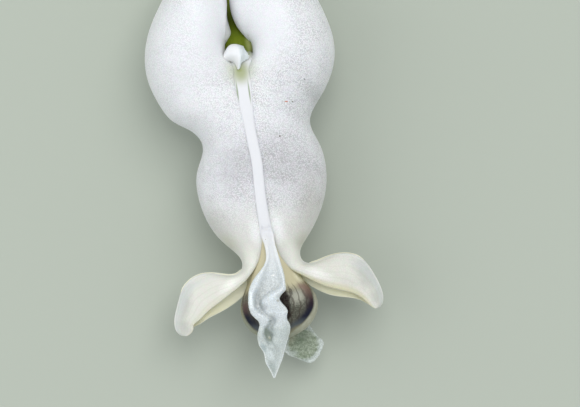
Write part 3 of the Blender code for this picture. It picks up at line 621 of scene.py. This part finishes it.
class Skin:
    """A material and its node tree, with one short call for each kind of node used here. Places
    and sizes are the flower's own millimetres, and noise and cells have a number per millimetre."""

    def __init__(self, name):
        self.material = bpy.data.materials.new(name)
        self.material.use_nodes = True
        self.tree = self.material.node_tree
        self.surface = self.tree.nodes["Principled BSDF"]
        self.place = self.node("TexCoord").outputs["Object"]
        self.x, self.y, self.z = self.node("SeparateXYZ", {0: self.place}).outputs

    def node(self, kind, inputs=None, **settings):
        made = self.tree.nodes.new("ShaderNode" + kind)
        for name, value in settings.items():
            setattr(made, name, value)
        for socket, value in (inputs or {}).items():
            self.feed(made.inputs[socket], value)
        return made

    def feed(self, socket, value):
        """Links a node's output to the socket, or sets it to a number, a vector or a colour."""
        if isinstance(value, bpy.types.NodeSocket):
            self.tree.links.new(value, socket)
        elif isinstance(value, tuple) and socket.type == "RGBA":
            socket.default_value = (*value, 1)
        else:
            socket.default_value = value

    def value(self, name):
        """A mesh's value of that name."""
        return self.node("Attribute", attribute_name=name).outputs["Fac"]

    def noise(self, scale, detail=3.0, vector=None, roughness=0.5):
        inputs = {"Vector": vector or self.place, "Scale": scale}
        return self.node("TexNoise", {**inputs, "Detail": detail, "Roughness": roughness}).outputs["Fac"]

    def cells(self, scale):
        return self.node("TexVoronoi", {"Vector": self.place, "Scale": scale}).outputs["Distance"]

    def maths(self, operation, first, second=0.0):
        return self.node("Math", {0: first, 1: second}, operation=operation).outputs[0]

    def plus(self, value, more, share=1.0):
        """The sum of value and a share of more."""
        return self.maths("ADD", value, more if share == 1.0 else self.both(more, share))

    def both(self, *shares):
        """The product of some shares."""
        product = shares[0]
        for share in shares[1:]:
            product = self.maths("MULTIPLY", product, share)
        return product

    def step(self, value, low, high, start=0.0, end=1.0):
        """start where value is low, end where it is high, smooth between."""
        inputs = {"Value": value, "From Min": low, "From Max": high, "To Min": start, "To Max": end}
        return self.node("MapRange", inputs, interpolation_type="SMOOTHSTEP").outputs["Result"]

    def band(self, value, middle, half):
        """1 where value is near middle, 0 from half away on."""
        away = self.maths("ABSOLUTE", self.maths("SUBTRACT", value, middle))
        return self.step(away, half, 0.0)

    def mix(self, share, first, second, blend="MIX"):
        made = self.tree.nodes.new("ShaderNodeMix")
        made.data_type, made.blend_type = "RGBA", blend
        for index, value in ((0, share), (6, first), (7, second)):  # the sockets that mix colours
            self.feed(made.inputs[index], value)
        return made.outputs[2]

    def shaded(self, colour, level):
        """The colour times a grey level."""
        grey = self.node("CombineColor", {0: level, 1: level, 2: level}).outputs[0]
        return self.mix(1.0, colour, grey, "MULTIPLY")

    def patch(self, x, y, half_x, half_y, turn=0.0, core=0.3, ragged=0.0):
        """1 in the core of an ellipse on the flower's face, 0 outside it. turn is in degrees, and
        ragged is how far noise shifts the outline, as a share of its size."""
        around = {"Vector": self.place, "Center": (x, y, 0.0), "Axis": (0, 0, 1)}
        turned = self.node("VectorRotate", {**around, "Angle": math.radians(-turn)}).outputs[0]
        scale = (1 / half_x, 1 / half_y, 0.0)
        shift = (-x / half_x, -y / half_y, 0.0)
        inputs = {"Vector": turned, "Scale": scale, "Location": shift}
        offset = self.node("Mapping", inputs).outputs[0]
        away = self.node("VectorMath", {0: offset}, operation="LENGTH").outputs["Value"]
        if ragged:
            away = self.plus(away, self.maths("SUBTRACT", self.noise(4.0, 3), 0.5), ragged)
        return self.step(away, 1.0, core)

    def paint(self, colour, rows, ragged=0.0, within=None):
        """The colour with the patches of a table over it, within a mask if one is given."""
        for x, y, half_x, half_y, turn, core, strength, tint in rows:
            patch = self.patch(x, y, half_x, half_y, turn, core, ragged)
            if within:
                patch = self.both(patch, within)
            colour = self.mix(self.both(patch, strength), colour, tint)
        return colour

    def veins(self, across, count, sway, noise, thin):
        """Fine lines, each where across is the same, with 2 pi / count of it from one to the next.
        Noise sways them, and they are thinner the nearer thin is to 1."""
        phase = self.plus(self.both(across, count), noise, sway)
        return self.step(self.maths("SINE", phase), thin, 1.0)

    def bump(self, height, strength, distance):
        inputs = {"Height": height, "Strength": strength, "Distance": distance * MM}
        return self.node("Bump", inputs).outputs["Normal"]

    def finish(self, colour, roughness, normal, glow=0.0, specular=0.35, sheen=0.0):
        """glow is the share of the light that goes through the flesh and comes out nearby."""
        settings = {
            "Base Color": colour,
            "Roughness": roughness,
            "Normal": normal,
            "Specular IOR Level": specular,
            "Subsurface Weight": glow,
            "Subsurface Radius": FLESH_SHARES,
            "Subsurface Scale": FLESH_DEPTH * MM,
            "Sheen Weight": sheen,
            "Sheen Roughness": SHEEN_ROUGHNESS,
        }
        for name, value in settings.items():
            self.feed(self.surface.inputs[name], value)
        return self.material


def petal_flesh(skin):
    """White with grey clouds on the belly, ivory below it, painted light and painted shade in patches,
    and painted shade on the tips of the wings.
    """
    belly = skin.band(skin.y, -5.0, 3.2)
    clouds = skin.both(skin.step(skin.noise(0.8, 3), 0.3, 0.7, 0.4, 1.0), belly)
    colour = skin.mix(clouds, (0.89, 0.895, 0.905), (0.78, 0.775, 0.79))
    ivory = skin.mix(skin.noise(1.5, 2), (0.74, 0.735, 0.67), (0.70, 0.695, 0.62))
    colour = skin.mix(skin.step(skin.y, -5.0, -7.6), colour, ivory)
    # Painted light and painted shade in patches, and the receptacle's green tint
    colour = skin.paint(colour, PETAL_LIGHT_SHADE_AND_TINTS, ragged=0.3)
    return skin.paint(colour, WING_TIP_SHADE, ragged=0.5)


def wing_bands(skin, colour):
    """A wing's painted light outline, a painted highlight along its keel, the bluish painted shade
    inside it and the khaki edge that rolls in.
    """
    across = skin.value("across")
    wing = skin.step(skin.y, *WING_Y)
    # Painted highlight: a thin pale line along the keel, the wing's outline as seen from the front
    outline = skin.both(skin.band(across, 1.0, 0.09), wing)
    colour = skin.mix(outline, colour, (0.97, 0.97, 0.90))
    # Painted shade: a bluish grey band inside that outline
    bluish = skin.both(skin.band(across, 0.85, 0.22), skin.step(skin.y, -8.3, -8.8))
    colour = skin.mix(skin.both(bluish, 0.6), colour, (0.58, 0.62, 0.61))
    stronger_right = skin.step(skin.x, -0.5, 0.5, 0.4, 0.9)
    rolled = skin.both(skin.step(across, 0.24, 0.0), wing, stronger_right)
    return skin.mix(rolled, colour, (0.58, 0.56, 0.37))


def petal_grain(skin, colour):
    """Sparkling cells, weaker at the wings, in the smooth place and on the left, and a play of
    tints. Gives the colour and the relief."""
    smooth = skin.patch(*SMOOTH_PLACE, core=0.3)
    rough = skin.step(smooth, 1.0, 0.0, 0.25, 1.0)
    sparkle = skin.both(skin.step(skin.y, -7.6, -5.2, 0.2, 1.0), rough)
    cells = skin.cells(CELLS_PER_MM)
    dots = skin.step(cells, 0.15, 0.7, 1.15, 0.64)
    uneven = skin.step(skin.noise(1.6, 2), 0.3, 0.7, 0.6, 1.0)
    weaker_left = skin.step(skin.x, -2.6, 0.4, 0.55, 1.0)
    patchy = skin.both(sparkle, uneven, weaker_left)
    grain = skin.both(skin.maths("SUBTRACT", dots, 1.0), patchy)
    colour = skin.shaded(colour, skin.plus(grain, 1.0))
    tint = skin.mix(skin.step(skin.noise(6, 2), 0.4, 0.6), (0.975, 1.0, 0.985), (1.0, 0.98, 1.0))
    return skin.mix(1.0, colour, tint, "MULTIPLY"), skin.both(cells, sparkle)


def make_petal_white():
    """The petals' outer face."""
    skin = Skin("petal_white")
    colour, relief = petal_grain(skin, wing_bands(skin, petal_flesh(skin)))
    veins = skin.veins(skin.value("across"), 36.0, 6.0, skin.noise(1.5, 2), 0.5)
    veins = skin.both(veins, skin.step(skin.y, -8.0, -9.0, 0, 0.16))
    colour = skin.mix(veins, colour, (0.48, 0.48, 0.38))
    colour = skin.paint(colour, SPECKS, within=skin.step(skin.z, 0.0, 0.2))
    return skin.finish(colour, 0.5, skin.bump(relief, 0.5, 0.015), glow=0.5, sheen=0.2)


def make_petal_inside():
    """Khaki, with painted light at the neck where the wings shade it, green beside the stalk."""
    skin = Skin("petal_inside")
    colour = skin.mix(skin.noise(1.2), (0.54, 0.51, 0.31), (0.62, 0.59, 0.40))
    # Painted light: lighter khaki at the neck, where the wings' front halves shade it
    colour = skin.mix(skin.step(skin.y, -7.9, -8.4), colour, (0.93, 0.91, 0.70))
    colour = skin.mix(skin.step(skin.y, -8.9, -9.9), colour, (0.72, 0.70, 0.50))
    colour = skin.mix(skin.step(skin.y, -0.5, 0.2), colour, (0.36, 0.45, 0.06))
    return skin.finish(colour, 0.55, skin.bump(skin.noise(9), 0.3, 0.02), glow=0.5)


def make_petal_rim():
    """Ivory, green beside the receptacle."""
    skin = Skin("petal_rim")
    colour = skin.mix(skin.noise(1.5), (0.80, 0.79, 0.74), (0.74, 0.73, 0.66))
    colour = skin.mix(skin.step(skin.y, -1.9, -0.9), colour, (0.40, 0.50, 0.20))
    return skin.finish(colour, 0.45, skin.bump(skin.noise(12), 0.2, 0.01), glow=0.3)


def hood_distances(skin):
    """Two shares of the way from the hood's middle: across, to its right margin, and out, to its
    outline, which lies further in at the lower right and further out on the left."""
    across = skin.maths("DIVIDE", skin.maths("SUBTRACT", skin.x, HOOD_X), HOOD_HALF_X)
    down = skin.maths("DIVIDE", skin.maths("SUBTRACT", skin.y, HOOD_Y), HOOD_HALF_Y)
    squared = skin.plus(skin.maths("POWER", across, 2.0), skin.maths("POWER", down, 2.0))
    lower_right = skin.both(skin.step(skin.y, -9.9, -10.7, 0, 0.09), skin.step(skin.x, 0.3, 0.9))
    left = skin.step(skin.x, -0.3, -0.9, 0, 0.035)
    inward = skin.maths("SUBTRACT", lower_right, left)
    return across, skin.plus(skin.maths("SQRT", squared), inward)


def claw_and_neck(skin):
    """White claw, green at its foot with painted shadow in the slits beside it, and khaki neck with
    painted light on its sides.
    """
    claw = skin.paint(skin.mix(skin.noise(2.0), CLAW_WHITE, CLAW_SHADE), GREEN_TINTS_AND_SLIT_SHADOWS)
    neck = skin.mix(skin.noise(2.5), (0.52, 0.48, 0.31), (0.60, 0.555, 0.39))
    colour = skin.mix(skin.step(skin.y, *NECK_Y), claw, neck)
    return skin.paint(colour, NECK_SIDE_LIGHT)


def hood_cheeks(skin, colour, grains):
    """Clear grey cheeks, darker below, with a haze on the right one and dark veins."""
    cheek = skin.mix(skin.step(grains, 0.38, 0.62), (0.09, 0.095, 0.075), (0.25, 0.25, 0.205))
    cheek = skin.mix(skin.step(skin.y, -9.7, -10.1, 0, 0.6), cheek, (0.06, 0.06, 0.045))
    cheek = skin.paint(cheek, HOOD_HAZE)
    colour = skin.mix(skin.step(skin.y, *CHEEK_Y), colour, cheek)
    veins = skin.veins(skin.value("meridian"), 85.0, 12.0, skin.noise(1.8, 3), 0.45)
    veins = skin.both(veins, skin.step(skin.y, -8.9, -9.3, 0, 0.6))
    return skin.mix(veins, colour, (0.055, 0.045, 0.035))


def hood_stain(skin, colour, out, grains):
    """A dark purple ring with a ragged inner side, brown at its upper ends and bluish below."""
    uneven = skin.maths("SUBTRACT", skin.noise(3.0, 4), 0.5)
    ragged = skin.plus(out, uneven, 0.14)
    ragged = skin.plus(ragged, skin.maths("SUBTRACT", grains, 0.5), 0.22)
    ring = skin.both(skin.step(ragged, 0.62, 0.84), skin.step(out, 0.92, 0.88))
    slanted = skin.maths("SUBTRACT", skin.y, skin.both(skin.x, STAIN_SLANT))
    ring = skin.both(ring, skin.step(slanted, *STAIN_Y))
    brown = skin.both(skin.step(slanted, -10.2, -9.3), skin.step(skin.x, -0.8, 0.4, 0.4, 1.0))
    stain = skin.mix(brown, (0.020, 0.012, 0.022), (0.28, 0.19, 0.15))
    stain = skin.mix(skin.step(skin.y, -9.9, -10.2), stain, (0.011, 0.013, 0.029))
    stain = skin.mix(skin.step(skin.y, -10.3, -10.65, 0, 0.8), stain, (0.11, 0.13, 0.14))
    colour = skin.mix(skin.both(ring, 0.97), colour, stain)
    return skin.paint(colour, HOOD_MAUVE, ragged=0.4)


def beside_crest(skin, colour, grains):
    """The dark place on the hood right of the crest, and the olive one below it."""
    dark = skin.patch(*DARK_PLACE, core=0.6, ragged=0.9)
    dark = skin.both(dark, skin.step(grains, 0.38, 0.6, 0.7, 1.0))
    colour = skin.mix(dark, colour, (0.012, 0.006, 0.006))
    return skin.paint(colour, HOOD_OLIVE, ragged=0.3)


def hood_margin(skin, colour, across, out):
    """The pale margin, greener below, streaked, and the khaki line where the two hoods meet."""
    margin = skin.both(skin.step(out, 0.89, 0.96), skin.step(skin.y, -8.7, -9.3))
    edge = skin.mix(skin.step(skin.y, -9.6, -10.5), (0.35, 0.33, 0.21), (0.31, 0.34, 0.27))
    edge = skin.mix(skin.step(across, 0.0, 0.7), edge, (0.49, 0.50, 0.40))
    streaks = skin.both(skin.step(skin.noise(5, 4, roughness=0.6), 0.35, 0.65), 0.35)
    edge = skin.mix(streaks, edge, (0.30, 0.28, 0.17))
    colour = skin.mix(skin.both(margin, 0.9), colour, edge)
    meeting = skin.both(skin.step(skin.z, 0.25, 0.0), skin.step(skin.z, -0.25, 0.0))
    return skin.mix(skin.both(meeting, 0.6), colour, (0.50, 0.48, 0.34))


def make_hood_skin():
    """Claw and hood, from the receptacle to the closed mouth."""
    skin = Skin("hood_skin")
    across, out = hood_distances(skin)
    grains = skin.noise(17, 4, roughness=0.65)
    colour = hood_cheeks(skin, claw_and_neck(skin), grains)
    colour = hood_stain(skin, colour, out, grains)
    colour = beside_crest(skin, colour, grains)
    colour = hood_margin(skin, colour, across, out)
    normal = skin.bump(skin.noise(10, 4), 0.5, 0.03)
    return skin.finish(colour, 0.45, normal, glow=0.05, specular=0.06)


def make_crest_skin():
    """Milky flesh on the lips, clear and granular in the gutter and the tail, white like the claw where
    it starts, with painted light and painted shade in patches and a painted highlight along the tail's
    outline."""
    skin = Skin("crest_skin")
    granules = skin.step(skin.noise(14, 4, roughness=0.7), 0.35, 0.65)
    milk = skin.mix(skin.noise(4), (0.68, 0.725, 0.745), (0.61, 0.665, 0.685))
    clear = skin.mix(granules, (0.52, 0.56, 0.56), (0.68, 0.71, 0.71))
    above = skin.both(skin.step(skin.y, -9.2, -8.6), 0.6)
    colour = skin.mix(skin.maths("MAXIMUM", skin.value("lip"), above), clear, milk)
    lower = skin.step(skin.y, -10.2, -10.8)
    flesh = skin.mix(skin.noise(5, 4), (0.42, 0.48, 0.465), (0.54, 0.59, 0.57))
    colour = skin.mix(skin.both(lower, 0.85), colour, flesh)
    claw = skin.mix(skin.step(skin.y, -6.8, -7.5), (0.71, 0.72, 0.745), (0.66, 0.68, 0.69))
    colour = skin.mix(skin.step(skin.y, -8.7, -7.3), colour, claw)
    # Painted light, painted shade and a painted highlight among these patches
    colour = skin.paint(colour, CREST_PATCHES, ragged=0.5)
    # Painted highlight: a pale line along the tail's outline as seen from the front
    rim = skin.both(skin.value("edge"), lower, 0.8)
    colour = skin.mix(rim, colour, (0.72, 0.77, 0.77))
    grainy = skin.shaded(colour, skin.step(skin.noise(22, 2), 0.35, 0.65, 0.84, 1.07))
    colour = skin.mix(skin.step(skin.y, -7.8, -8.8, 0.2, 1.0), colour, grainy)
    return skin.finish(colour, 0.35, skin.bump(granules, 0.3, 0.012), glow=0.4, specular=0.5)


def make_lobe_skin():
    """The back crest: clear greenish flesh with grains, and painted light along its outline."""
    skin = Skin("lobe_skin")
    granules = skin.step(skin.noise(9, 5, roughness=0.75), 0.36, 0.62)
    colour = skin.mix(granules, (0.16, 0.21, 0.135), (0.32, 0.38, 0.29))
    colour = skin.paint(colour, LOBE_GREEN, ragged=0.8)
    colour = skin.paint(colour, LOBE_PALE, ragged=0.6)
    colour = skin.paint(colour, LOBE_KHAKI)
    # Painted light: a milky band and a pale rim along the outline as seen from the front and round the
    # lobe's rim
    milk = skin.mix(skin.noise(10, 3), (0.34, 0.40, 0.35), (0.54, 0.60, 0.57))
    uneven = skin.both(skin.maths("SUBTRACT", skin.noise(9, 4), 0.5), 0.8)
    edge = skin.value("edge")
    colour = skin.mix(skin.step(skin.plus(edge, uneven), 0.05, 0.7), colour, milk)
    colour = skin.mix(skin.step(edge, 0.75, 1.0, 0, 0.9), colour, (0.56, 0.62, 0.60))
    colour = skin.shaded(colour, skin.step(skin.noise(20, 4, roughness=0.7), 0.35, 0.65, 0.72, 1.12))
    return skin.finish(colour, 0.35, skin.bump(granules, 0.4, 0.015), glow=0.2, specular=0.5)


def make_sepal_skin():
    """White, the folded right side clearer and bluish."""
    skin = Skin("sepal_skin")
    colour = skin.mix(skin.noise(4), (0.86, 0.87, 0.88), (0.80, 0.82, 0.84))
    clear = skin.mix(skin.noise(9), (0.62, 0.70, 0.70), (0.72, 0.78, 0.80))
    colour = skin.mix(skin.both(skin.value("right"), 0.85), colour, clear)
    return skin.finish(colour, 0.5, skin.bump(skin.noise(9), 0.3, 0.02), glow=0.3)


def make_stalk_skin():
    """Olive green, deeper at the receptacle with painted light on its right side, browner at the cut
    end, with fine lengthwise streaks."""
    skin = Skin("stalk_skin")
    lengthwise = skin.node("Mapping", {"Vector": skin.place, "Scale": (3.0, 0.5, 3.0)}).outputs[0]
    streaks = skin.noise(5, 3, lengthwise)
    colour = skin.mix(streaks, (0.13, 0.18, 0.02), (0.26, 0.30, 0.05))
    receptacle_and_light = skin.mix(streaks, (0.085, 0.13, 0.003), (0.15, 0.19, 0.012))
    # Painted light on the receptacle's right side, in the crevice beside the right petal
    receptacle_and_light = skin.mix(skin.step(skin.x, 0.15, 0.40), receptacle_and_light, (0.42, 0.47, 0.18))
    colour = skin.mix(skin.step(skin.y, 1.8, 0.8), colour, receptacle_and_light)
    colour = skin.mix(skin.step(skin.y, 3.5, 6.2, 0, 0.6), colour, (0.16, 0.11, 0.05))
    return skin.finish(colour, 0.55, skin.bump(streaks, 0.3, 0.02), glow=0.1, specular=0.12)


def make_hidden_skin(name, first, second, scale):
    """For the pistil and stamens inside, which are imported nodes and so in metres."""
    skin = Skin(name)
    colour = skin.mix(skin.noise(scale / MM), first, second)
    return skin.finish(colour, 0.5, skin.bump(skin.noise(2 * scale / MM), 0.3, 0.02))


def make_floor_skin():
    """Dull grey green. The floor is in metres."""
    skin = Skin("floor")
    colour = skin.mix(skin.noise(12), (0.40, 0.44, 0.38), (0.43, 0.47, 0.41))
    return skin.finish(colour, 0.8, skin.bump(skin.noise(300), 0.1, 0.1), specular=0.2)


petal_white = make_petal_white()
petal_inside = make_petal_inside()
petal_rim = make_petal_rim()
hood_skin = make_hood_skin()
crest_skin = make_crest_skin()
lobe_skin = make_lobe_skin()
sepal_skin = make_sepal_skin()
stalk_skin = make_stalk_skin()
pistil_skin = make_hidden_skin("pistil_skin", (0.42, 0.52, 0.22), (0.55, 0.62, 0.35), 2)
stamen_skin = make_hidden_skin("stamen_skin", (0.80, 0.72, 0.40), (0.85, 0.80, 0.60), 3)

# ------------------------ the flower

# The flower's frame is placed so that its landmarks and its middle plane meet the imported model's.
petal_low, petal_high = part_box("outer_petal_right")
hood_low, hood_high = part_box("inner_petal_front")
flower_place = (
    (hood_low[0] + hood_high[0]) / 2 - HOOD_MIDDLE_X * MM,
    hood_low[1] - CREST_TIP_Y * MM,
    (petal_low[2] + petal_high[2]) / 2,
)

outer_petal("petal_right", "outer_petal_right", RIGHT_RIBS, True)
outer_petal("petal_left", "outer_petal_left", LEFT_RIBS, False)
inner_petal("inner_front", "inner_petal_front", FRONT_CREST, True)
inner_petal("inner_back", "inner_petal_back", BACK_CREST, False)
sepal("sepal_front_scale", "sepal_front", True)
sepal("sepal_back_scale", "sepal_back", False)
stalk()

hidden = {"pistil": pistil_skin}
hidden["stamen_bundle_right"] = hidden["stamen_bundle_left"] = stamen_skin
for node, material in hidden.items():
    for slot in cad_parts[node].material_slots:
        slot.material = material

# ------------------------ floor, light and camera

# Metres, apart from the view's place, which is in the flower's millimetres
FLOOR_WIDTH = 4
SKY_COLOUR, SKY_STRENGTH = (0.96, 0.98, 1.0), 0.72
VIEW_X, VIEW_Y, VIEW_Z = 1.16, -6.05, 1.3  # the middle of the plane that fills the view
VIEW_WIDTH = 21.89 * MM
VIEW_DISTANCE = 0.25
VIEW_TURN = -7  # degrees
SENSOR_WIDTH = 36  # in a camera's own millimetres

bpy.ops.mesh.primitive_plane_add(size=FLOOR_WIDTH)
floor = bpy.context.object
floor.name = "floor"
floor.data.materials.append(make_floor_skin())

world = bpy.data.worlds.new("studio")
world.use_nodes = True
sky = world.node_tree.nodes["Background"].inputs
sky["Color"].default_value = (*SKY_COLOUR, 1)
sky["Strength"].default_value = SKY_STRENGTH
bpy.context.scene.world = world


def softbox(name, place, size, power, colour):
    """A square lamp that looks at the flower."""
    lamp = bpy.data.lights.new(name, "AREA")
    lamp.size, lamp.energy, lamp.color = size, power, colour
    obj = bpy.data.objects.new(name, lamp)
    bpy.context.scene.collection.objects.link(obj)
    obj.location = place
    aim = obj.constraints.new("TRACK_TO")
    aim.target = floor
    aim.track_axis, aim.up_axis = "TRACK_NEGATIVE_Z", "UP_Y"


softbox("key", place=(0.06, 0.10, 0.27), size=0.20, power=0.42, colour=(1.0, 0.99, 0.98))
softbox("fill", place=(-0.20, 0.02, 0.16), size=0.24, power=0.16, colour=(1.0, 1.0, 1.0))

camera = bpy.data.objects.new("camera", bpy.data.cameras.new("camera"))
bpy.context.scene.collection.objects.link(camera)
camera.data.sensor_width = SENSOR_WIDTH
camera.data.lens = SENSOR_WIDTH * VIEW_DISTANCE / VIEW_WIDTH
camera.data.clip_start, camera.data.clip_end = 0.01, 10
camera.location = (
    flower_place[0] + VIEW_X * MM,
    flower_place[1] + VIEW_Y * MM,
    flower_place[2] + VIEW_Z * MM + VIEW_DISTANCE,
)
camera.rotation_euler = (0, 0, math.radians(VIEW_TURN))
bpy.context.scene.camera = camera
bpy.context.scene.view_settings.view_transform = "Standard"
